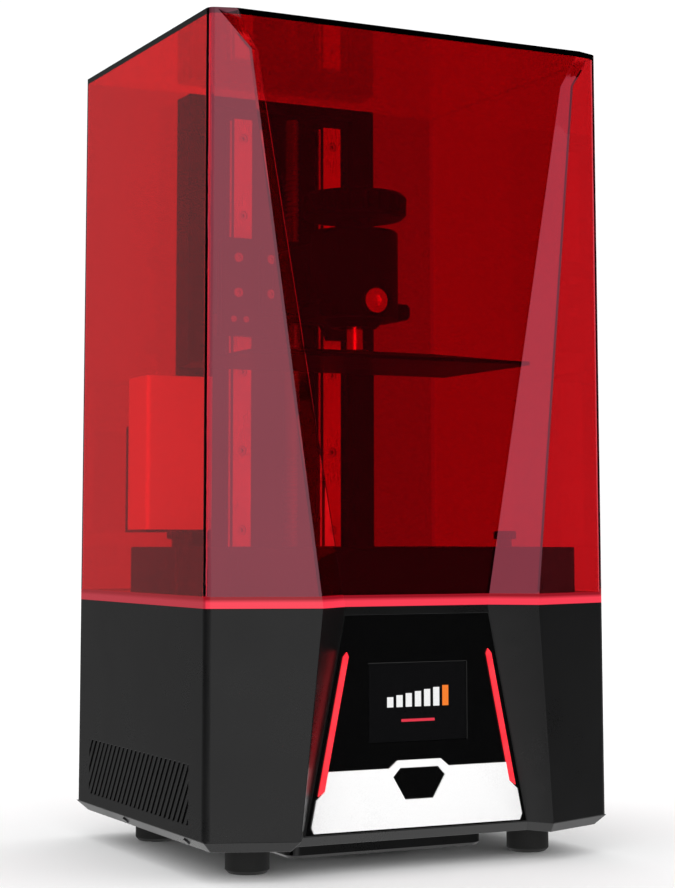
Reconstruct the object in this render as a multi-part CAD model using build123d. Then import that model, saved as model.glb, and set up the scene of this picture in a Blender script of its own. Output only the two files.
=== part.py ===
from build123d import *

import os
from math import cos, pi, sin

# Desktop resin printer, millimetres. X runs to the right, Y to the back and Z up. The origin is the
# middle of the overall box, on the surface that the feet stand on.

# ---- Overall size ----
WIDTH = 305.8
DEPTH = 273.0
HEIGHT = 567.3
HALF = WIDTH / 2

# ---- Heights of the outer skin ----
PAN_Z = 18.5
SKIRT_Z = 25.5
WAIST_Z = 172.6
RIM_TOP_Z = 180.1
SHOULDER_Z = 540.0
BRIM_Z = 566.0

# ---- Front of the skin: each flank runs forward from the side to a ridge, then back to a valley ----
FLANK_SLOPE = 0.382
# height, half-width at the ridge, half-width at the valley, how far the valley is in front of FRONT
FRONT_LINES = (
    (SKIRT_Z, 94.9, 85.0, 5.0),
    (WAIST_Z, 81.6, 54.7, 5.0),
    (SHOULDER_Z, 126.3, 119.2, 5.0),
    (BRIM_Z, 147.0, 134.0, 6.0),
)
RIDGE_FORWARD = FLANK_SLOPE * (HALF - FRONT_LINES[1][1])
FRONT = RIDGE_FORWARD - DEPTH / 2  # front edge of the flat side faces
REAR_PROUD = 4.8  # sockets and switch behind the back face
BACK = DEPTH / 2 - REAR_PROUD
PANEL_Y = FRONT - FRONT_LINES[0][3]  # face of the flat centre panel
CORNER_R = 6.0
SKIN = 2.5
COVER_WALL = 3.0
COVER_TOP = 3.5
RIM_WIDTH = 6.0

# ---- Feet and underside ----
FOOT_X = 108.0
FOOT_Y = (FRONT + 32.4, FRONT + 194.3)
FOOT_R = 14.7
FOOT_CHAMFER = 2.2
PAN_SLOPE = SKIRT_Z - PAN_Z
PAN_THICK = 2.0
PLENUM_HALF = 75.0
PLENUM_Y = (FRONT + 37.0, FRONT + 190.0)
PLENUM_Z = 5.0
PLENUM_WALL = 2.0
PLENUM_CORNER_R = 9.0
PLENUM_CHAMFER = 2.0
INTAKE_SLOTS = 11
INTAKE_PITCH = 8.0
INTAKE_SLOT_HALF = 2.0
SCREW_SPOTS_Y = (FRONT + 36.0, FRONT + 147.0)
CASE_SCREW_R = 2.6
CASE_SCREW_HEIGHT = 1.0

# ---- Side vents ----
VENT_Y = (FRONT + 26.0, FRONT + 214.0)
VENT_Z = (33.5, 72.0)
VENT_PITCH = 7.9
VENT_SLOT = 3.4
VENT_LEAN = 26.0

# ---- Front panel ----
FASCIA_Z = (SKIRT_Z, 167.0)
FASCIA_GAP = 0.9
SCREEN_HALF = 37.5
SCREEN_Z = (83.0, 135.0)
SCREEN_GAP = 0.3
MODULE_MARGIN = 4.5  # the display module's edge outside its glass
MODULE_THICK = 6.0
STRIP_Z = (50.8, 143.0)
STRIP_INSET = 6.8
STRIP_WIDTH = 3.8
STRIP_TIP = 3.0
STRIP_PROUD = 1.3
TRIM_Z = (27.2, 66.2)
TRIM_TOP_Z = 71.2
TRIM_TOP_HALF = (22.6, 16.4)  # foot and crest of the bump in the upper edge
TRIM_INSET = 4.0
TRIM_CORNER = (2.6, 4.0)  # how far the lower corners are cut off, across and up
TRIM_NOTCH_Z = (STRIP_Z[0] - 2.5, STRIP_Z[0] + 2.8)
TRIM_PROUD = 1.2
HEX_Z = (45.8, 60.6, 65.9)
HEX_HALF = (10.3, 19.4, 14.2)
HEX_GAP = 0.25

# ---- Exposure unit ----
DECK_THICK = 4.0
DECK_Z = WAIST_Z - DECK_THICK
PLATE_CENTRE_Y = FRONT + 88.5
LCD_HALF = (118.0, 67.0)
LCD_THICK = 3.0
WINDOW_HALF = (110.0, 61.5)
LENS_THICK = 3.5
HOOD_TOP_Z = DECK_Z - 5.0
HOOD_TOP_HALF = (113.0, 64.0)
HOOD_FOOT_HALF = (40.0, 32.0)
HOOD_WALL = 1.6
DECK_SCREW_HOLE_R = 11.0

# ---- Fans, light board and mainboard ----
FAN_SIZE = 80.0
FAN_THICK = 15.0
FAN_BORE_R = 37.5
FAN_BLADE_R = 36.5
FAN_HUB_R = 17.0
FAN_CORNER_R = 4.0
FAN_BLADES = 7
BLADE_THICK = 1.6
BLADE_WIDE = 16.0
BLADE_PITCH = 32.0  # degrees
SPIDER_THICK = 2.0
SPIDER_ARM_HALF = 1.5
LED_FAN_Z = PAN_Z + PAN_THICK
SINK_Z = LED_FAN_Z + FAN_THICK
SINK_TOP_Z = SINK_Z + 26.0
SINK_HALF = 40.0
SINK_PLATE = 4.0
SINK_FINS = 13
FIN_PITCH = 6.3
FIN_HALF = 0.8
LED_BOARD_Z = SINK_TOP_Z + 2.0
LED_R = 14.0
LED_HEIGHT = 1.5
EXHAUST_Z = 96.0
BOARD_X = (60.0, 138.0)
BOARD_Y = (FRONT + 120.0, FRONT + 215.0)
BOARD_THICK = 1.6
STANDOFF_HEIGHT = 6.0
STANDOFF_R = 3.0
STANDOFF_INSET = 4.0

# ---- Back of the housing ----
REAR_OPENING = ((-112.0, 112.0), (42.0, 150.0))
REAR_PANEL = ((-118.0, 118.0), (36.0, 156.0))
REAR_PLATE = 2.0
REAR_CORNER_R = 5.0
EXHAUST_SLOTS = 9
EXHAUST_PITCH = 8.0
EXHAUST_SLOT_HALF = 2.4
SOCKET_Z = 66.0
SWITCH_X = -88.0
SWITCH_HALF = (7.6, 11.0)
SWITCH_BODY_HALF = (6.5, 9.9)
SWITCH_DEEP = 16.0
ROCKER_HALF = (5.9, 8.7)
ROCKER_TILT = 8.0
ROCKER_WELL = 7.0
INLET_X = 88.0
INLET_R = 8.0
INLET_BODY_R = 6.4
SOCKET_DEEP = 14.0
BARREL_R = 2.85
BARREL_DEEP = 9.0
BARREL_PIN_R = 1.0
USB_X = 66.0
USB_HALF = (6.6, 2.9)
USB_WALL = 0.5
USB_PROUD = 0.8
USB_DEEP = 12.0

# ---- Vat ----
VAT_HALF = 132.0
VAT_Y = (FRONT + 3.3, FRONT + 186.6)
POCKET_HALF = 118.5
POCKET_Y = (FRONT + 19.0, FRONT + 168.0)
FILM_Z = WAIST_Z + 3.2
FILM_THICK = 0.3
VAT_Z = (FILM_Z + FILM_THICK, 211.5)
THUMB_X = 129.9
THUMB_Y = FRONT + 95.0
THUMB_SHANK_R = 3.0
THUMB_NECK_R = 5.5
THUMB_HEAD_R = 8.9
THUMB_GRIPS = 12
THUMB_GRIP_R = 1.4
THUMB_Z = (211.5, 217.0, 223.0)
VAT_CORNER_R = 5.0
VAT_EDGE_R = 1.2
POCKET_CORNER_R = 10.0
FILM_INSET = 7.0

# ---- Lift ----
TOWER_HALF = 78.6
TOWER_Y = (FRONT + 207.5, FRONT + 231.0)
TOWER_TOP_Z = 558.0
CHANNEL_HALF = 60.0
CHANNEL_Y = FRONT + 215.6
TOWER_CORNER_R = 1.2
TOWER_WALLS = (4.0, 3.0, 8.0)  # behind the channel, at the back, at the top
RAIL_X = 38.1
RAIL_SIZE = 15.0
RAIL_Z = (193.8, 540.0)
RAIL_PITCH = 60.2
RAIL_FIRST_Z = 223.8
RAIL_HOLES = 6
RAIL_GROOVE = (4.5, 8.5, 1.6)  # from, to, and how deep
RAIL_COUNTERBORE = (3.75, 5.3)
RAIL_BORE_R = 2.25
RAIL_SCREW = (3.6, 4.3, 2.2)  # head radius, head height, shank radius
BLOCK_WIDTH = 34.0
BLOCK_Z = (386.3, 444.3)
BLOCK_GAP = 0.3
BOLT_SPACING = 26.6
BOLT_R = 3.6
BOLT_HEIGHT = 3.2
FLANGE_BORE_R = BOLT_R + 0.6
CARRIAGE_Y = (FRONT + 181.0, FRONT + 187.6)
CARRIAGE_HALF = 64.0
CARRIAGE_Z = (369.6, 381.0, 444.0)
CARRIAGE_NOTCH = (20.0, 26.0)
CARRIAGE_CORNER_R = 4.0
FLAG_X = -49.4
FLAG_SCREW_Z = CARRIAGE_Z[0] + 12.4
FLAG_SCREW = (5.1, 2.4, 1.6)  # offset, head radius, head height
FLAG_SHEET = 1.5
LEAD_Y = FRONT + 195.0
LEAD_R = 6.0
LEAD_TOP_Z = 541.0
LEAD_CHAMFER = 1.0
JOURNAL_R = 2.5
JOURNAL_LONG = 16.0
RUNNING_FIT = 0.05
MOTOR_SIZE = 42.3
MOTOR_LONG = 48.0
MOTOR_CHAMFER = 3.5
NUT_HALF = 15.0
NUT_Z = (394.0, 410.0)
NUT_COLLAR = 8.0
NUT_R = 10.5

# ---- Platform ----
HEAD_R = 31.7
HEAD_Z = (374.5, 438.6)
HEAD_CHAMFER = 1.5
EAR_HALF = (36.5, 17.0)
EAR_HEIGHT = 11.5
EAR_CHAMFER = 2.5
SKIRT = (16.0, 22.3, 6.0)  # radius at the foot, radius at the top, height
CLAMP_Z = 385.5
CLAMP_SPOT_R = 10.0
CLAMP_SPOT_DEEP = 2.2
CLAMP_SCREW = (8.8, 5.2)  # head radius and height
ARM_HALF = 24.0
ARM_Z = (388.0, 434.0)
ARM_EDGE_R = 5.0
FLANGE_MARGIN = 9.0
FLANGE_THICK = 6.0
FLANGE_Z = (ARM_Z[0] - 2.0, ARM_Z[1] + 4.0)
FLANGE_EDGE_R = 4.0
KNOB_R = 38.0
KNOB_Z = (448.3, 466.0)
KNOB_CHAMFER = 3.0
KNOB_GRIPS = 24
KNOB_GRIP = (2.1, 3.0)  # centre outside the rim, radius
KNOB_NECK_R = 14.0
KNOB_STUD_R = 5.0
KNOB_STUD_Z = 416.0
BALL_Z = 382.0
BALL_R = 9.5
SEAT_R = (9.8, 12.2)
SEAT_HALF_HEIGHT = 6.0
SOCKET_R = 12.5
STEM_R = 6.1
STEM_FOOT = (11.0, 3.4)  # radius and height
PLATE_HALF = (111.0, 63.5)
PLATE_Z = (341.3, 343.8, 349.0)
PLATE_PAD_HALF = (46.0, 34.0)
PLATE_CORNER_R = 3.0
PLATE_STEP = 3.0

# ---- Purifier, on a bracket beside the tower ----
PURIFIER_X = (-128.5, -80.6)
PURIFIER_Y = (FRONT + 162.0, FRONT + 202.0)
PURIFIER_Z = (224.0, 336.0)
PURIFIER_EDGE_R = (3.5, 1.5)  # upright edges, top edges
WELL_HALF = 17.5
WELL_WALL = 5.0
WELL_DEEP = 30.0
GRILLE_Z = (PURIFIER_Z[1] - 3.0, PURIFIER_Z[1] - 1.0)
GRILLE_SLOTS = 7
GRILLE_PITCH = 4.6
GRILLE_SLOT_HALF = 1.2
FILTER_TOP_Z = PURIFIER_Z[1] - 6.0
BRACKET_HEIGHT = 76.0
SHEET = 2.0

PARTS = {}


def span(centre, half):
    """Low and high value of a length that is centred on a point."""
    return (centre - half, centre + half)


def steps(count):
    """Whole numbers that are centred on zero."""
    return range(-(count // 2), count // 2 + 1)


def block(x, y, z):
    """A box given by its low and high value along each axis."""
    size = Box(x[1] - x[0], y[1] - y[0], z[1] - z[0])
    return Pos((x[0] + x[1]) / 2, (y[0] + y[1]) / 2, (z[0] + z[1]) / 2) * size


def centred(half_x, y, z):
    """A box that is centred on X = 0."""
    return block((-half_x, half_x), y, z)


def rod(x, y, z, radius):
    """An upright cylinder between two heights."""
    return Pos(x, y, (z[0] + z[1]) / 2) * Cylinder(radius, z[1] - z[0])


def rod_y(x, y, z, radius):
    """A cylinder along Y between two depths."""
    return Pos(x, (y[0] + y[1]) / 2, z) * Rot(90, 0, 0) * Cylinder(radius, y[1] - y[0])


def slab_y(points, y):
    """A plate whose outline is given in X and Z, between two depths."""
    outline = make_face(Polyline(*points, close=True))
    return extrude(Plane.XZ.offset(-y[1]) * outline, y[1] - y[0])


def mirrored(points):
    """Right-hand points followed by their mirror images, as one outline."""
    return list(points) + [(-x, z) for x, z in reversed(points)]


def upright_edges(shape):
    """The edges that run straight up."""
    found = []
    for edge in shape.edges():
        low, high = edge @ 0, edge @ 1
        if abs(low.X - high.X) < 1e-4 and abs(low.Y - high.Y) < 1e-4:
            found.append(edge)
    return found


def front_lines(z):
    """Half-widths of ridge and valley, and the valley's step forward, at one height."""
    for low, high in zip(FRONT_LINES, FRONT_LINES[1:]):
        if z <= high[0] or high is FRONT_LINES[-1]:
            share = (z - low[0]) / (high[0] - low[0])
            return [a + share * (b - a) for a, b in zip(low[1:], high[1:])]


def inset_corners(points, distance):
    """Every side of an anticlockwise outline moved inwards by the same distance."""
    moved = []
    for index, point in enumerate(points):
        before = point - points[index - 1]
        after = points[(index + 1) % len(points)] - point
        first = Vector(-before.Y, before.X).normalized()
        second = Vector(-after.Y, after.X).normalized()
        moved.append(point + (first + second) * (distance / (1 + first.dot(second))))
    return moved


def section(z, inset=0.0, at_z=None):
    """The outline of the skin for one height, moved inwards by inset and laid at at_z."""
    ridge, valley, step = front_lines(z)
    half_front = [
        (HALF, FRONT),
        (ridge, FRONT - FLANK_SLOPE * (HALF - ridge)),
        (valley, FRONT - step),
    ]
    left = [Vector(-x, y) for x, y in half_front]
    right = [Vector(x, y) for x, y in reversed(half_front)]
    corners = left + right + [Vector(HALF, BACK), Vector(-HALF, BACK)]
    corners = inset_corners(corners, inset)
    face = make_face(Polyline(*[(p.X, p.Y) for p in corners], close=True))
    return Pos(0, 0, z if at_z is None else at_z) * face


def skin(low, high, inset=0.0, radius=CORNER_R):
    """The solid inside the skin between two heights, with its four upright corners rounded."""
    levels = [line[0] for line in FRONT_LINES if low < line[0] < high]
    body = loft([section(z, inset) for z in [low, *levels, high]], ruled=True)
    return fillet(upright_edges(body), radius - inset) if radius > inset else body


def keep(node, shape):
    """Store one sub-part under its node name."""
    PARTS[node] = shape


# ---- Housing ----

def vent_slots():
    """Slanted slots right through both side walls, cut off square at the ends of the field."""
    height = VENT_Z[1] - VENT_Z[0]
    field = block((-HALF - 1, HALF + 1), VENT_Y, VENT_Z)
    count = int((VENT_Y[1] - VENT_Y[0] + VENT_LEAN) / VENT_PITCH) + 1
    slots = []
    for index in range(count):
        foot = VENT_Y[0] + index * VENT_PITCH
        corners = [
            (foot, VENT_Z[0]),
            (foot + VENT_SLOT, VENT_Z[0]),
            (foot + VENT_SLOT - VENT_LEAN, VENT_Z[0] + height),
            (foot - VENT_LEAN, VENT_Z[0] + height),
        ]
        profile = Plane.YZ.offset(-HALF - 1) * make_face(Polyline(*corners, close=True))
        slots.append(extrude(profile, WIDTH + 2) & field)
    return slots


def fascia_outline(gap):
    """Corners of the front panel in X and Z, gap inside the valley lines."""
    low, high = FASCIA_Z
    half_low = front_lines(low)[1] - FASCIA_GAP - gap
    half_high = front_lines(high)[1] - FASCIA_GAP - gap
    return mirrored([(half_low, low + gap), (half_high, high - gap)])


def make_base_shell():
    shell = skin(SKIRT_Z, WAIST_Z) - skin(SKIRT_Z, WAIST_Z, SKIN)
    shell -= slab_y(fascia_outline(0.0), (PANEL_Y - 1, PANEL_Y + SKIN + 1))
    shell -= block(REAR_OPENING[0], (BACK - SKIN - 1, BACK + 1), REAR_OPENING[1])
    for slot in vent_slots():
        middle = centred(HALF - SKIN - 1, VENT_Y, VENT_Z)
        shell -= slot - middle
    keep("base_shell", shell)


def make_bottom_pan():
    """Dish with sloping edges that closes the housing from below."""
    outer = loft([section(SKIRT_Z, PAN_SLOPE, PAN_Z), section(SKIRT_Z)], ruled=True)
    rise = PAN_Z + PAN_THICK
    share = PAN_SLOPE - PAN_THICK + SKIN
    inner = loft([section(SKIRT_Z, share, rise), section(SKIRT_Z, SKIN)], ruled=True)
    pan = outer - inner
    pan -= rod(0, PLATE_CENTRE_Y, (PAN_Z - 1, rise + 1), FAN_BORE_R)
    keep("bottom_pan", pan)


def make_intake_cover():
    """Shallow tray under the pan that the cooling air enters through."""
    tray = centred(PLENUM_HALF, PLENUM_Y, (PLENUM_Z, PAN_Z))
    tray = fillet(tray.edges().filter_by(Axis.Z), PLENUM_CORNER_R)
    tray = chamfer(tray.faces().sort_by(Axis.Z)[0].edges(), PLENUM_CHAMFER)
    inside = (PLENUM_Y[0] + PLENUM_WALL, PLENUM_Y[1] - PLENUM_WALL)
    tray -= centred(PLENUM_HALF - PLENUM_WALL, inside, (PLENUM_Z + PLENUM_WALL, PAN_Z + 1))
    floor = (PLENUM_Z - 1, PLENUM_Z + PLENUM_WALL + 1)
    for index in steps(INTAKE_SLOTS):
        share = index / (INTAKE_SLOTS // 2 + 1)
        half = FAN_BORE_R * (1 - share ** 2) ** 0.5
        y = PLATE_CENTRE_Y + index * INTAKE_PITCH
        tray -= centred(half, span(y, INTAKE_SLOT_HALF), floor)
    keep("intake_cover", tray)


def make_feet():
    feet = []
    for x in (-FOOT_X, FOOT_X):
        for y in FOOT_Y:
            foot = rod(x, y, (0, PAN_Z), FOOT_R)
            feet.append(chamfer(foot.faces().sort_by(Axis.Z)[0].edges(), FOOT_CHAMFER))
    keep("rubber_feet", Compound(children=feet))


def make_case_screws():
    """Low screw heads on the sloping edges of the pan."""
    heads = []
    for side in (-1, 1):
        for y in SCREW_SPOTS_Y:
            head = Pos(side * (HALF - PAN_SLOPE / 2), y, SKIRT_Z - PAN_SLOPE / 2)
            head *= Rot(0, side * 135, 0) * Pos(0, 0, CASE_SCREW_HEIGHT / 2)
            head *= Cylinder(CASE_SCREW_R, CASE_SCREW_HEIGHT)
            heads.append(head)
    keep("case_screws", Compound(children=heads))


# ---- Front panel ----

def make_front_fascia():
    fascia = slab_y(fascia_outline(0.15), (PANEL_Y, PANEL_Y + SKIN))
    fascia -= centred(SCREEN_HALF, (PANEL_Y - 1, PANEL_Y + SKIN + 1), SCREEN_Z)
    keep("front_fascia", fascia)


def make_screen():
    glass_z = (SCREEN_Z[0] + SCREEN_GAP, SCREEN_Z[1] - SCREEN_GAP)
    glass_y = (PANEL_Y + SCREEN_GAP, PANEL_Y + SKIN)
    keep("screen_glass", centred(SCREEN_HALF - SCREEN_GAP, glass_y, glass_z))
    module_z = (SCREEN_Z[0] - MODULE_MARGIN, SCREEN_Z[1] + MODULE_MARGIN)
    module_y = (PANEL_Y + SKIN, PANEL_Y + SKIN + MODULE_THICK)
    keep("screen_module", centred(SCREEN_HALF + MODULE_MARGIN, module_y, module_z))


def strip_edge(z, offset):
    """Half-width of a line that runs beside the valley line, further in by offset."""
    return front_lines(z)[1] - offset


def make_accent_strips():
    low, high = STRIP_Z
    outer, inner = STRIP_INSET - STRIP_WIDTH / 2, STRIP_INSET + STRIP_WIDTH / 2
    corners = [
        (strip_edge(low, outer), low),
        (strip_edge(high - STRIP_TIP, outer), high - STRIP_TIP),
        (strip_edge(high, STRIP_INSET), high),
        (strip_edge(high - STRIP_TIP, inner), high - STRIP_TIP),
        (strip_edge(low + STRIP_TIP, inner), low + STRIP_TIP),
    ]
    right = slab_y(corners, (PANEL_Y - STRIP_PROUD, PANEL_Y))
    keep("accent_strip_right", right)
    keep("accent_strip_left", mirror(right, Plane.YZ))


def hexagon(grow):
    """The six-sided inlay's outline, grown by a margin."""
    corners = zip(HEX_HALF, HEX_Z, (-grow, 0.0, grow))
    return mirrored([(half + grow, z + rise) for half, z, rise in corners])


def make_lower_trim():
    """White plate with a raised middle that runs round the inlay."""
    low, high = TRIM_Z
    side = STRIP_INSET + STRIP_WIDTH / 2 + SCREEN_GAP
    across, up = TRIM_CORNER
    corners = [
        (strip_edge(low, TRIM_INSET + across), low),
        (strip_edge(low + up, TRIM_INSET), low + up),
        (strip_edge(TRIM_NOTCH_Z[0], TRIM_INSET), TRIM_NOTCH_Z[0]),
        (strip_edge(TRIM_NOTCH_Z[1], side), TRIM_NOTCH_Z[1]),
        (strip_edge(high, side), high),
        (TRIM_TOP_HALF[0], high),
        (TRIM_TOP_HALF[1], TRIM_TOP_Z),
    ]
    trim = slab_y(mirrored(corners), (PANEL_Y - TRIM_PROUD, PANEL_Y))
    trim -= slab_y(hexagon(HEX_GAP), (PANEL_Y - TRIM_PROUD - 1, PANEL_Y + 1))
    keep("lower_trim", trim)
    keep("hexagon_inlay", slab_y(hexagon(0.0), (PANEL_Y - TRIM_PROUD * 0.6, PANEL_Y)))


# ---- Exposure unit inside the housing ----

def make_deck():
    deck = skin(DECK_Z, WAIST_Z, SKIN + 0.05)
    through = (DECK_Z - 1, WAIST_Z + 1)
    deck -= centred(WINDOW_HALF[0], span(PLATE_CENTRE_Y, WINDOW_HALF[1]), through)
    deck -= rod(0, LEAD_Y, through, DECK_SCREW_HOLE_R)
    for side in (-1, 1):
        deck -= rod(side * THUMB_X, THUMB_Y, through, THUMB_SHANK_R + RUNNING_FIT)
    keep("deck_plate", deck)
    glass_y = span(PLATE_CENTRE_Y, LCD_HALF[1])
    keep("exposure_lcd", centred(LCD_HALF[0], glass_y, (WAIST_Z, WAIST_Z + LCD_THICK)))


def rectangle(half_x, half_y, z):
    """A level rectangle centred on the build platform."""
    return Pos(0, PLATE_CENTRE_Y, z) * Rectangle(2 * half_x, 2 * half_y)


def make_light_hood():
    """Hollow pyramid between the light board and the lens."""
    foot = rectangle(*HOOD_FOOT_HALF, LED_BOARD_Z)
    top = rectangle(*HOOD_TOP_HALF, HOOD_TOP_Z)
    inner_foot = rectangle(*[half - HOOD_WALL for half in HOOD_FOOT_HALF], LED_BOARD_Z)
    inner_top = rectangle(*[half - HOOD_WALL for half in HOOD_TOP_HALF], HOOD_TOP_Z)
    keep("light_hood", loft([foot, top]) - loft([inner_foot, inner_top]))
    keep("collimating_lens", extrude(top, LENS_THICK))


def make_light_source():
    board = extrude(rectangle(SINK_HALF, SINK_HALF, SINK_TOP_Z), LED_BOARD_Z - SINK_TOP_Z)
    board += rod(0, PLATE_CENTRE_Y, (LED_BOARD_Z, LED_BOARD_Z + LED_HEIGHT), LED_R)
    keep("led_board", board)
    plate_z = SINK_TOP_Z - SINK_PLATE
    sink = extrude(rectangle(SINK_HALF, SINK_HALF, plate_z), SINK_PLATE)
    for index in steps(SINK_FINS):
        fin_x = span(index * FIN_PITCH, FIN_HALF)
        sink += block(fin_x, span(PLATE_CENTRE_Y, SINK_HALF), (SINK_Z, plate_z))
    keep("heat_sink", sink)


def fan_frame():
    """Square fan frame lying flat, with its lower face at Z = 0."""
    half = FAN_SIZE / 2
    frame = centred(half, span(0, half), (0, FAN_THICK))
    frame = fillet(frame.edges().filter_by(Axis.Z), FAN_CORNER_R)
    frame -= rod(0, 0, (-1, FAN_THICK + 1), FAN_BORE_R)
    hub = rod(0, 0, (0, SPIDER_THICK), FAN_HUB_R)
    arm = block((FAN_HUB_R - 2, FAN_BORE_R + 1), span(0, SPIDER_ARM_HALF), (0, SPIDER_THICK))
    for turn in (45, 135, 225, 315):
        hub += Rot(0, 0, turn) * arm
    return frame + hub


def fan_rotor():
    """Bladed rotor that fits the frame, a little above its spider."""
    rotor = rod(0, 0, (SPIDER_THICK + 0.5, FAN_THICK - 0.5), FAN_HUB_R)
    blade = block((FAN_HUB_R - 1.5, FAN_BLADE_R), span(0, BLADE_THICK / 2), span(0, BLADE_WIDE / 2))
    blade = Rot(BLADE_PITCH, 0, 0) * blade
    blade &= rod(0, 0, span(0, 5), FAN_BLADE_R)
    middle = (SPIDER_THICK + FAN_THICK) / 2
    for index in range(FAN_BLADES):
        rotor += Rot(0, 0, 360 / FAN_BLADES * index) * Pos(0, 0, middle) * blade
    return rotor


def make_fans():
    led_place = Pos(0, PLATE_CENTRE_Y, LED_FAN_Z)
    exhaust_place = Pos(0, BACK, EXHAUST_Z) * Rot(90, 0, 0)
    keep("led_fan_frame", led_place * fan_frame())
    keep("led_fan_rotor", led_place * fan_rotor())
    keep("exhaust_fan_frame", exhaust_place * fan_frame())
    keep("exhaust_fan_rotor", exhaust_place * fan_rotor())


def make_mainboard():
    """Circuit board on the pan floor, with its larger components."""
    floor = PAN_Z + PAN_THICK
    under = floor + STANDOFF_HEIGHT
    top = under + BOARD_THICK
    board = block(BOARD_X, BOARD_Y, (under, top))
    for x in (BOARD_X[0] + STANDOFF_INSET, BOARD_X[1] - STANDOFF_INSET):
        for y in (BOARD_Y[0] + STANDOFF_INSET, BOARD_Y[1] - STANDOFF_INSET):
            board += rod(x, y, (floor, under), STANDOFF_R)
    left, front = BOARD_X[0], BOARD_Y[0]
    processor = block((left + 18, left + 44), (front + 30, front + 56), (top, top + 6))
    connectors = block((left + 52, left + 70), (front + 20, front + 80), (top, top + 10))
    capacitor = rod(left + 10, front + 70, (top, top + 12), 5)
    keep("mainboard", board + processor + connectors + capacitor)


# ---- Back of the housing ----


def make_rear_panel():
    """Steel plate over the opening in the back, pierced for the fan, the switch and the sockets."""
    depth = (BACK - 1, BACK + REAR_PLATE + 1)
    panel = block(REAR_PANEL[0], (BACK, BACK + REAR_PLATE), REAR_PANEL[1])
    panel = fillet(panel.edges().filter_by(Axis.Y), REAR_CORNER_R)
    for index in steps(EXHAUST_SLOTS):
        rise = index * EXHAUST_PITCH
        half = (FAN_BORE_R ** 2 - rise ** 2) ** 0.5
        panel -= centred(half, depth, span(EXHAUST_Z + rise, EXHAUST_SLOT_HALF))
    hole_x, hole_z = [half + 0.1 for half in SWITCH_BODY_HALF]
    panel -= block(span(SWITCH_X, hole_x), depth, span(SOCKET_Z, hole_z))
    panel -= rod_y(INLET_X, depth, SOCKET_Z, INLET_BODY_R + 0.1)
    hole_x, hole_z = [half + 0.8 for half in USB_HALF]
    panel -= block(span(USB_X, hole_x), depth, span(SOCKET_Z, hole_z))
    keep("rear_panel", panel)


def make_power_switch():
    face = BACK + REAR_PLATE
    housing = block(span(SWITCH_X, SWITCH_HALF[0]), (face, face + 1.6), span(SOCKET_Z, SWITCH_HALF[1]))
    body_x, body_z = SWITCH_BODY_HALF
    housing += block(span(SWITCH_X, body_x), (face - SWITCH_DEEP, face), span(SOCKET_Z, body_z))
    well_x, well_z = ROCKER_HALF[0] + 0.3, ROCKER_HALF[1] + 0.4
    well = block(span(SWITCH_X, well_x), (face - ROCKER_WELL, face + 3), span(SOCKET_Z, well_z))
    keep("power_switch_housing", housing - well)
    half = ROCKER_HALF[1]
    profile = [(-4.5, -3.0), (3.0, -half), (0.9, 0.0), (3.0, half), (-4.5, 3.0)]
    outline = make_face(Polyline(*profile, close=True))
    rocker = extrude(Plane.YZ * outline, ROCKER_HALF[0], both=True)
    hinge = Pos(SWITCH_X, face - 1.5, SOCKET_Z)
    keep("power_switch_rocker", hinge * Rot(ROCKER_TILT, 0, 0) * rocker)


def make_power_inlet():
    """Round low-voltage socket with its centre pin."""
    face = BACK + REAR_PLATE
    inlet = rod_y(INLET_X, (face, BACK + REAR_PROUD), SOCKET_Z, INLET_R)
    inlet += rod_y(INLET_X, (face - SOCKET_DEEP, face), SOCKET_Z, INLET_BODY_R)
    inlet -= rod_y(INLET_X, (face - BARREL_DEEP, BACK + REAR_PROUD + 1), SOCKET_Z, BARREL_R)
    inlet += rod_y(INLET_X, (face - BARREL_DEEP, face), SOCKET_Z, BARREL_PIN_R)
    keep("power_inlet", inlet)


def make_usb_socket():
    """Sheet-metal mouth with its contact tongue."""
    face = BACK + REAR_PLATE
    half_x, half_z = USB_HALF
    usb = block(span(USB_X, half_x), (face - SOCKET_DEEP, face + USB_PROUD), span(SOCKET_Z, half_z))
    mouth_x, mouth_z = span(USB_X, half_x - USB_WALL), span(SOCKET_Z, half_z - USB_WALL)
    usb -= block(mouth_x, (face - USB_DEEP, face + 2), mouth_z)
    tongue_x = span(USB_X, half_x - 2 * USB_WALL)
    usb += block(tongue_x, (face - USB_DEEP, face - 0.5), (SOCKET_Z + 0.3, SOCKET_Z + 2.0))
    keep("usb_socket", usb)


# ---- Vat ----

def make_vat():
    frame = centred(VAT_HALF, VAT_Y, VAT_Z)
    frame = fillet(frame.edges().filter_by(Axis.Z), VAT_CORNER_R)
    frame = fillet(frame.faces().sort_by(Axis.Z)[-1].edges(), VAT_EDGE_R)
    through = (VAT_Z[0] - 1, VAT_Z[1] + 1)
    pocket = centred(POCKET_HALF, POCKET_Y, through)
    frame -= fillet(pocket.edges().filter_by(Axis.Z), POCKET_CORNER_R)
    slot_half = THUMB_SHANK_R + 0.4
    for side in (-1, 1):
        reach = sorted((side * THUMB_X, side * (VAT_HALF + 1)))
        slot = rod(side * THUMB_X, THUMB_Y, through, slot_half)
        frame -= slot + block(reach, span(THUMB_Y, slot_half), through)
    keep("vat_frame", frame)
    ring_y = (VAT_Y[0] + FILM_INSET, VAT_Y[1] - FILM_INSET)
    film_half = VAT_HALF - FILM_INSET
    keep("vat_film", centred(film_half, ring_y, (FILM_Z, FILM_Z + FILM_THICK)))
    ring = centred(film_half, ring_y, (WAIST_Z + 0.1, FILM_Z))
    ring -= centred(POCKET_HALF + 1.2, (POCKET_Y[0], POCKET_Y[1] + 1), (WAIST_Z - 1, FILM_Z + 1))
    keep("film_clamp_ring", ring)


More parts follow.
